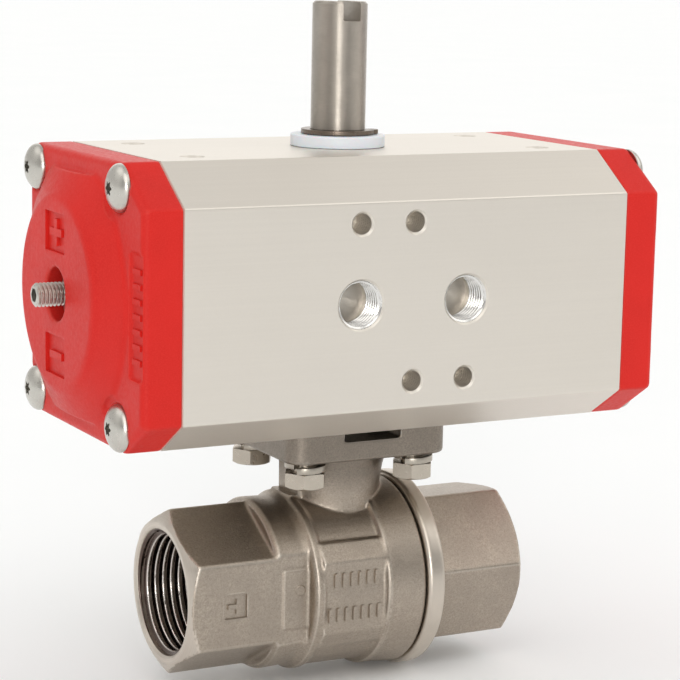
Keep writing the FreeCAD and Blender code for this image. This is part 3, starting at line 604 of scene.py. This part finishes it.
# name, colour, metallic, roughness, grain, depth of the grain, spread of the tone
PORT_ALUMINIUM = plain_finish("cut_port_thread", (0.80, 0.79, 0.77), 0.9, 0.24, 3.0, 0.006, 0.06).material
SCREW_STEEL = plain_finish("stainless_screws", (0.62, 0.60, 0.55), 1.0, 0.3, 3.5, 0.006, 0.1).material
BOLT_STEEL = plain_finish("stainless_bolts", (0.56, 0.505, 0.43), 1.0, 0.3, 2.5, 0.01, 0.1).material
WASHER_STEEL = plain_finish("spring_washer_steel", (0.46, 0.42, 0.36), 1.0, 0.34, 3.0, 0.01, 0.12).material
CLIP_STEEL = plain_finish("blackened_spring_steel", (0.20, 0.16, 0.13), 1.0, 0.3, 3.0, 0.008, 0.12).material
WHITE_RING = plain_finish("white_bearing_plastic", (0.75, 0.79, 0.85), 0.0, 0.42, 1.5, 0.01, 0.03,
                          Subsurface_Weight=0.25, Subsurface_Scale=0.002).material
RUBBER = plain_finish("black_gasket_rubber", (0.02, 0.02, 0.02), 0.0, 0.6, 2.0, 0.02, 0.2).material
GASKET = plain_finish("pressed_gasket_fibre", (0.66, 0.42, 0.38), 0.0, 0.7, 2.5, 0.02, 0.12).material
BEARING = plain_finish("guide_band_plastic", (0.70, 0.66, 0.55), 0.0, 0.5, 1.6, 0.012, 0.06).material
PTFE = plain_finish("ptfe_seat", (0.86, 0.86, 0.83), 0.0, 0.45, 1.2, 0.01, 0.03).material
PISTON = plain_finish("die_cast_piston", (0.60, 0.60, 0.60), 1.0, 0.45, 1.8, 0.02, 0.08).material
BALL = plain_finish("lapped_ball_steel", (0.70, 0.69, 0.67), 1.0, 0.12, 4.0, 0.002, 0.04).material
VALVE_STEEL = plain_finish("turned_stem_steel", (0.55, 0.53, 0.5), 1.0, 0.3, 2.5, 0.008, 0.08,
                           (1, 1, 5.0)).material

SHOWN_NODES = {
    "actuator_body": HOUSING, "left_cap_gasket": GASKET, "right_cap_gasket": GASKET,
    "left_screw_seal": RUBBER, "right_screw_seal": RUBBER, "left_lock_nut": SCREW_STEEL,
    "right_lock_nut": SCREW_STEEL, "upper_shaft_bush": BEARING, "lower_shaft_bush": BEARING,
    "upper_shaft_o_ring": RUBBER, "lower_shaft_o_ring": RUBBER, "left_piston": PISTON,
    "right_piston": PISTON, "left_piston_o_ring": RUBBER, "right_piston_o_ring": RUBBER,
    "left_guide_ring": BEARING, "right_guide_ring": BEARING, "left_rack_pad": BEARING,
    "right_rack_pad": BEARING, "pinion_shaft": SHAFT_STEEL, "valve_ball": BALL, "left_seat": PTFE,
    "right_seat": PTFE, "body_gasket": PTFE, "stem_thrust_washer": PTFE, "stem_packing": PTFE,
    "gland_ring": VALVE_STEEL, "disc_springs": CLIP_STEEL, "valve_stem": VALVE_STEEL,
    "stem_nut": VALVE_STEEL,
}
for node_name, finish_material in SHOWN_NODES.items():
    shown = frame["nodes"][node_name].data
    shown.materials.clear()
    shown.materials.append(finish_material)


# ---------------------------------------------------------------- actuator: ports and screw holes
def port_threads():
    """Cut threads in the two air ports and in the eight small screw holes."""
    chamfer = PORT_MOUTH_R - PORT_BORE_R
    ports = [inner_thread("port", "y", (x, FRONT_Y, BORE_Z), chamfer + 0.02, PORT_DEPTH - PORT_RUNOUT,
                          PORT_THREAD, 72) for x in (-PORT_X, PORT_X)]
    place(merged("air_port_threads", [crease(p) for p in ports]), "housing", "housing_aluminium",
          PORT_ALUMINIUM)
    holes = ((-PORT_X, SCREW_Z), (0.0, SCREW_Z), (0.0, -SCREW_Z), (PORT_X, -SCREW_Z))
    small = [inner_thread("hole", "y", (x, FRONT_Y, BORE_Z + z), M5_MOUTH, M5_FRONT_END,
                          M5_HOLE_THREAD, 40) for x, z in holes]
    small += [inner_thread("hole", "z", (sx * BRACKET[0], sy * BRACKET[1], BODY_TOP), -M5_TOP_END,
                           -M5_MOUTH, M5_HOLE_THREAD, 40) for sx in (-1, 1) for sy in (-1, 1)]
    place(merged("screw_hole_threads", [crease(h) for h in small]), "housing", "housing_aluminium",
          PORT_ALUMINIUM)


# ---------------------------------------------------------------- actuator: end caps
def stands(sign, sunk, proud):
    """Lowest and highest x of a tool on the dome's flat, from its depth and its height."""
    return sorted((sign * (CAP_DOME_X - sunk), sign * (CAP_DOME_X + proud)))


def minus_outline():
    wide, thick = MARK_WIDE, MARK_THICK
    return [(-wide, -thick), (wide, -thick), (wide, thick), (-wide, thick)]


def plus_outline():
    wide, high, thick = MARK_WIDE, MARK_HIGH, MARK_THICK
    return [(-wide, -thick), (-thick, -thick), (-thick, -high), (thick, -high), (thick, -thick),
            (wide, -thick), (wide, thick), (thick, thick), (thick, high), (-thick, high),
            (-thick, thick), (-wide, thick)]


def end_caps():
    """Soft-edged caps: two sunk squares with a plus and a minus on the dome, plain ribs in the strip."""
    for side, sign in (("left", -1), ("right", 1)):
        cap = voxel_cast(copy_of(side + "_end_cap", side + "_cap_shell"), 0.34, 5)
        for up, outline in ((1, plus_outline()), (-1, minus_outline())):
            z = BORE_Z + up * MARK_AT
            cut(cap, block("pocket", *stands(sign, POCKET_DEEP, 1.0), -POCKET_WIDE, POCKET_WIDE,
                           z - POCKET_HIGH, z + POCKET_HIGH))
            raised = prism("raised", outline, "x", *stands(sign, 1.1, -0.12), (0, 0, z))
            combine(cap, [raised], "UNION")
        low, high = sorted((sign * (CAP_FACE_X - 1.1), sign * (CAP_FACE_X - 0.25)))
        ribs = [block("rib", low, high, *RIB_Y, z - RIB_HALF, z + RIB_HALF)
                for z in [RIB_MIDDLE_Z + RIB_PITCH * k for k in range(-3, 4)]]
        combine(cap, [merged("ribs", ribs)], "UNION")
        crease(cap, 35.0)
        place(cap, "housing", "cap_coating", CAP_RED, replaced=[side + "_end_cap"])


def button_head(name, sign, y, z):
    """Domed screw head with a six-lobed socket."""
    seat = SCREW_HEAD_TOP - HEAD_H
    dome = [(HEAD_H * math.sin(a), HEAD_R * math.cos(a)) for a in np.linspace(0.12, 1.36, 14)]
    profile = [(-9.0, 0), (-9.0, 2.4), (0.0, 2.4), (0.0, HEAD_R - 0.12), (0.12, HEAD_R)]
    profile += [(0.25 + h * 0.91, r) for h, r in dome] + [(HEAD_H, 0.55), (HEAD_H, 0)]
    if sign < 0:
        profile = [(-h, r) for h, r in profile]
    head = lathe(name, profile, "x", (sign * seat, y, z), 72)
    lobes = [((1.2 + 0.27 * math.cos(6 * a)) * math.cos(a), (1.2 + 0.27 * math.cos(6 * a)) * math.sin(a))
             for a in np.linspace(0, 2 * math.pi, 60, endpoint=False)]
    low, high = sorted((sign * (SCREW_HEAD_TOP - 1.6), sign * (SCREW_HEAD_TOP + 1)))
    cut(head, prism("socket", lobes, "x", low, high, (0, y, z)))
    return crease(head, 34.0)


def end_screws():
    """Four button-head screws on each cap, and the threaded stop with its hexagon socket."""
    for side, sign in (("left", -1), ("right", 1)):
        heads = [button_head("head", sign, sy * CAP_SCREW[0], BORE_Z + sz * CAP_SCREW[1])
                 for sy in (-1, 1) for sz in (-1, 1)]
        place(merged(side + "_button_screws", heads), "housing", "fastener_steel", SCREW_STEEL,
              replaced=[side + "_cap_screws"])
        tip = SCREW_TIP_X
        low, high = sorted((sign * STOP_INNER_X, sign * tip))
        rod = threaded_rod(side + "_threaded_stop", "x", (0, 0, BORE_Z), low, high, M5_ROD)
        low, high = sorted((sign * (tip - 2.6), sign * (tip + 1)))
        cut(rod, prism("hexagon", polygon(6, 1.5), "x", low, high, (0, 0, BORE_Z)))
        place(crease(rod, 40.0), side + "_stop", "fastener_steel", SCREW_STEEL,
              replaced=[side + "_stroke_screw"])


# ---------------------------------------------------------------- shaft end
def shaft_end():
    """The white ring round the shaft and the retaining ring above it."""
    inner, outer = 5.85, 9.9
    outline = rounded([(RING_LOW.z, inner), (RING_LOW.z, outer), (RING_HIGH.z, outer),
                       (RING_HIGH.z, inner)], 0.3)
    ring = lathe("white_shaft_ring", outline, "z", count=128, closed=True)
    place(crease(ring), "housing", "white_plastic", WHITE_RING, replaced=["shaft_spacer_ring"])
    clip = voxel_cast(copy_of("shaft_circlip", "retaining_ring"), 0.12, 3)
    place(crease(clip, 60.0), "pinion", "spring_steel", CLIP_STEEL, replaced=["shaft_circlip"])


# ---------------------------------------------------------------- valve
def machined_faces(obj):
    """Gives the turned end face, its chamfer and the outside of the collar the second material."""
    for face in obj.data.polygons:
        x, y, z = face.center / MM
        end = abs(face.normal.x) > 0.72 and abs(x) > VALVE_END - 3.2
        collar = 13.0 < x < 17.4 and 19.0 < math.hypot(y, z - FLOW_Z) < 22.0
        face.material_index = 1 if end or collar else 0


def flow_mark(casting):
    """A sunk square with an arrow in it, a small raised disc and two rows of plain raised bars."""
    half = 2.5
    cut(casting, block("square", ARROW_X - half, ARROW_X + half, FLAT_Y - 2, FLAT_Y + 0.55,
                       FLOW_Z - half, FLOW_Z + half))
    tip, neck, tail = ARROW_X + 1.7, ARROW_X + 0.1, ARROW_X - 1.7
    outline = [(0, tip), (1.6, neck), (0.5, neck), (0.5, tail), (-0.5, tail), (-0.5, neck), (-1.6, neck)]
    pads = [prism("arrow", outline, "y", FLAT_Y + 0.1, FLAT_Y + 0.8, (0, 0, FLOW_Z))]
    pads.append(lathe("disc", [(FLAT_Y - 0.6, 0), (FLAT_Y - 0.6, 1.0), (FLAT_Y - 0.4, 1.2),
                               (FLAT_Y + 0.2, 1.2), (FLAT_Y + 0.2, 0)], "y", (-14.9, 0, FLOW_Z + 1.9), 40))
    for start, count, low in ((-8.4, 6, 2.3), (-9.6, 7, -5.1)):
        for k in range(count):
            x = start + BAR_PITCH * k
            section = rounded([(low, x), (low + BAR_HIGH, x), (low + BAR_HIGH, x + BAR_WIDE),
                               (low, x + BAR_WIDE)], 0.3, 2)
            pads.append(prism("bar", section, "y", PANEL_Y - 0.4, PANEL_Y + 0.3, (0, 0, FLOW_Z)))
    return combine(casting, [merged("pads", pads)], "UNION")


def end_tools(sign):
    """What the lathe takes off one end: outside envelope, face and countersink."""
    corner_r, face_r = 17.9, 14.8
    run = (corner_r - face_r) * math.tan(math.radians(30))
    end = VALVE_END - 0.02
    keep = lathe("keep", [(-60 * sign, 0), (-60 * sign, 60), (24 * sign, 60), (24 * sign, 25),
                          (sign * (end - run - 4.1), 25), (sign * (end - run), corner_r),
                          (sign * end, face_r), (sign * end, 0)], "x", (0, 0, FLOW_Z), 160)
    sink = lathe("sink", [(sign * (end - 1.6), 0), (sign * (end - 1.6), 13.0), (sign * (end - 0.45), 13.2),
                          (sign * end, 13.75), (sign * (end + 2), 15.0), (sign * (end + 2), 0)],
                 "x", (0, 0, FLOW_Z), 160)
    return keep, sink


def fuller_neck():
    """The neck's outer skin, a little fuller than the CAD's; it leaves the stem's bore free."""
    return lathe("neck", [(PAD_Z - 20.8, 8.2), (PAD_Z - 20.8, 10.1), (PAD_Z - 17.5, 10.2),
                          (PAD_Z - 14.0, 10.6), (PAD_Z - 11.0, 11.1), (PAD_Z - 8.2, 12.0),
                          (PAD_Z - 7.1, 12.7), (PAD_Z - 7.1, 8.2)], "z", closed=True)


def joint_lip():
    """Brings the casting's rim close to the collar, so that only a thin line shows between them."""
    return lathe("lip", [(12.2, 18.0), (12.2, 20.2), (12.85, 20.1), (12.85, 18.0)], "x", (0, 0, FLOW_Z),
                 160, closed=True)


def valve_castings():
    """Soft-edged castings with turned ends, cast marks and a real thread in each end."""
    def crisp(points):
        """Machined places that smoothing leaves alone: ends, pad top and joint faces."""
        x, z = points[:, 0], points[:, 2]
        radius = np.hypot(points[:, 1], z - FLOW_Z)
        joint = (x > 12.0) & (x < 13.7) & (radius > 17.5)
        return (np.abs(x) > VALVE_END - 0.8) | (z > PAD_Z - 0.5) | (radius < 14.2) | joint

    for node, name, sign in (("valve_body", "valve_body_casting", -1),
                             ("valve_retainer", "valve_end_casting", 1)):
        rough = copy_of(node, name)
        if sign < 0:
            rough = merged(name, [rough, fuller_neck(), joint_lip()])
        casting = voxel_cast(rough, 0.33, 6, crisp)
        keep, sink = end_tools(sign)
        combine(casting, [keep], "INTERSECT")
        cut(casting, sink)
        if sign < 0:
            side_gap = block("relief", -14.0, -10.2, -5.4, 5.4, FLOW_Z + 19.3, PAD_Z - 7.3)
            cut(casting, side_gap)
            flow_mark(casting)
        crease(casting, 38.0)
        place(casting, "housing", "valve_casting", CASTING, MACHINED, replaced=[node])
        machined_faces(casting)
        start, stop = sorted((sign * (VALVE_END - 14.8), sign * (VALVE_END - 0.45)))
        thread = inner_thread(name + "_thread", "x", (0, 0, FLOW_Z), start, stop, PIPE_THREAD, 144)
        place(crease(thread, 50.0), "housing", "valve_casting", PIPE_STEEL)


def hex_bolt(name, x, y):
    """Hexagon head with bevelled corners and a shallow dish, on a plain shank."""
    low, high, centre = BOLT_LOW, WASHER_LOW.z, (x, y, 0)
    head = prism(name, polygon(6, AF8_R), "z", low, high, centre)
    bevel = lathe("bevel", [(low, 0), (low, AF8_R - 0.8), (low + 0.5, AF8_R + 0.05),
                            (high - 0.15, AF8_R + 0.05), (high, AF8_R - 0.3), (high, 0)],
                  "z", centre, 72)
    combine(head, [bevel], "INTERSECT")
    dish = lathe("dish", [(low - 1, 0), (low - 1, 2.9), (low + 0.12, 2.2), (low + 0.12, 0)],
                 "z", centre, 48)
    cut(head, dish)
    shank = lathe("shank", [(high - 0.5, 0), (high - 0.5, BOLT_R), (PAD_Z + 5, BOLT_R), (PAD_Z + 5, 0)],
                  "z", centre, 40)
    combine(head, [shank], "UNION")
    return crease(head, 25.0)


def split_washer(name, x, y):
    """Square wire wound one turn, sprung open at its slit."""
    low, high, thick = WASHER_LOW.z, WASHER_HIGH.z, 1.35
    inner, outer, slit = 2.65, 4.3, 0.16
    start = math.radians(215) + slit / 2
    steps = 72
    section = rounded([(0, inner), (0, outer), (thick, outer), (thick, inner)], 0.14, 2)
    verts, n = [], len(section)
    for k in range(steps + 1):
        angle = start + (2 * math.pi - slit) * k / steps
        rise = (high - low - thick) * k / steps
        for h, r in section:
            verts.append((x + r * math.cos(angle), y + r * math.sin(angle), low + rise + h))
    faces = [[k * n + i, k * n + (i + 1) % n, (k + 1) * n + (i + 1) % n, (k + 1) * n + i]
             for k in range(steps) for i in range(n)]
    faces += [list(range(n)), list(range(steps * n + n - 1, steps * n - 1, -1))]
    return crease(new_object(name, verts, faces), 40.0)


def flange_fasteners():
    """The four bolts under the pad and their split washers."""
    places = [(sx * BOLT_AT, sy * BOLT_AT) for sx in (-1, 1) for sy in (-1, 1)]
    place(merged("hexagon_bolts", [hex_bolt("bolt", x, y) for x, y in places]), "housing",
          "fastener_steel", BOLT_STEEL, replaced=["flange_bolts"])
    place(merged("split_washers", [split_washer("washer", x, y) for x, y in places]), "housing",
          "fastener_steel", WASHER_STEEL, replaced=["lock_washers"])


port_threads()
end_caps()
end_screws()
shaft_end()
valve_castings()
flange_fasteners()


# ---------------------------------------------------------------- floor, light and camera
def floor_material():
    finish = Finish("pale_floor", 0.0, 0.9, Specular_IOR_Level=0.1)
    tone = finish.remap(finish.noise(0.01, 3.0), 0.0, 1.0)
    finish.colour(finish.blend(tone, (0.955, 0.975, 0.99), (0.97, 0.985, 1.0)))
    return finish.material


def build_floor():
    corners = [(-1, -1), (1, -1), (1, 1), (-1, 1)]
    floor = new_object("floor", [(x * FLOOR_HALF, y * FLOOR_HALF, FLOOR_Z) for x, y in corners],
                       [(0, 1, 2, 3)])
    floor.data.transform(Matrix.Scale(MM, 4))
    floor.data.materials.append(floor_material())


WORLD_LEVEL = 0.672
# direction it shines from, its angular radius and its soft edge in degrees, radiance
SOFT_BOXES = (
    ((-0.30, -0.65, 0.75), 18.0, 14.0, 2.1),
    ((-0.46, -0.85, 0.16), 5.0, 7.0, 15.0),
    ((0.75, -0.35, 0.75), 18.0, 14.0, 1.5),
    ((-0.8, 0.25, 0.7), 18.0, 14.0, 0.3),
    ((-0.5, 0.3, 0.9), 16.0, 12.0, 0.7),
    ((0.46, 0.87, 0.24), 20.0, 16.0, 1.0),
)


def build_world():
    """Plain white surroundings, a little darker behind the camera, with soft boxes at infinity."""
    world = bpy.data.worlds.new("studio")
    bpy.context.scene.world = world
    world.use_nodes = True
    tree = world.node_tree
    background = tree.nodes["Background"]
    direction = tree.nodes.new("ShaderNodeTexCoord").outputs["Generated"]

    def toward(point):
        made = tree.nodes.new("ShaderNodeVectorMath")
        made.operation = "DOT_PRODUCT"
        tree.links.new(direction, made.inputs[0])
        made.inputs[1].default_value = Vector(point).normalized()
        return made.outputs["Value"]

    def remapped(value, start, end, low, high):
        made = tree.nodes.new("ShaderNodeMapRange")
        made.interpolation_type = "SMOOTHSTEP"
        tree.links.new(value, made.inputs["Value"])
        for key, number in (("From Min", start), ("From Max", end), ("To Min", low), ("To Max", high)):
            made.inputs[key].default_value = number
        return made.outputs["Result"]

    total = remapped(toward((0.25, 1.0, 0.0)), -1.0, 0.2, 0.42, 0.94)
    for point, radius, edge, radiance in SOFT_BOXES:
        inner, outer = math.cos(math.radians(radius)), math.cos(math.radians(radius + edge))
        lobe = remapped(toward(point), outer, inner, 0.0, radiance)
        plus = tree.nodes.new("ShaderNodeMath")
        tree.links.new(total, plus.inputs[0])
        tree.links.new(lobe, plus.inputs[1])
        total = plus.outputs["Value"]
    scaled = tree.nodes.new("ShaderNodeMath")
    scaled.operation = "MULTIPLY"
    tree.links.new(total, scaled.inputs[0])
    scaled.inputs[1].default_value = WORLD_LEVEL
    tree.links.new(scaled.outputs["Value"], background.inputs["Strength"])
    background.inputs["Color"].default_value = (1.0, 0.985, 0.96, 1.0)


def build_camera():
    """The camera that fits the housing's known sizes."""
    yaw, pitch, roll = (math.radians(d) for d in (27.93, 9.75, -1.18))
    distance, aim_right, aim_z = 487.87, 1.39, PAD_Z + 15.04
    back = Vector((-math.sin(yaw) * math.cos(pitch), -math.cos(yaw) * math.cos(pitch), math.sin(pitch)))
    right = Vector((math.cos(yaw), -math.sin(yaw), 0.0))
    up = right.cross(-back)
    location = (Vector((0, 0, aim_z)) + right * aim_right + back * distance) * MM
    rolled_right = right * math.cos(roll) - up * math.sin(roll)
    rolled_up = right * math.sin(roll) + up * math.cos(roll)
    camera = bpy.data.cameras.new("camera")
    camera.sensor_width = 36.0
    camera.lens = 121.4074
    camera.clip_start, camera.clip_end = 0.01, 200.0
    obj = bpy.data.objects.new("camera", camera)
    turn = Matrix((rolled_right, rolled_up, back)).transposed()
    obj.matrix_world = Matrix.Translation(location) @ turn.to_4x4()
    bpy.context.scene.collection.objects.link(obj)
    bpy.context.scene.camera = obj


build_floor()
build_world()
build_camera()
bpy.context.scene.view_settings.view_transform = "Standard"
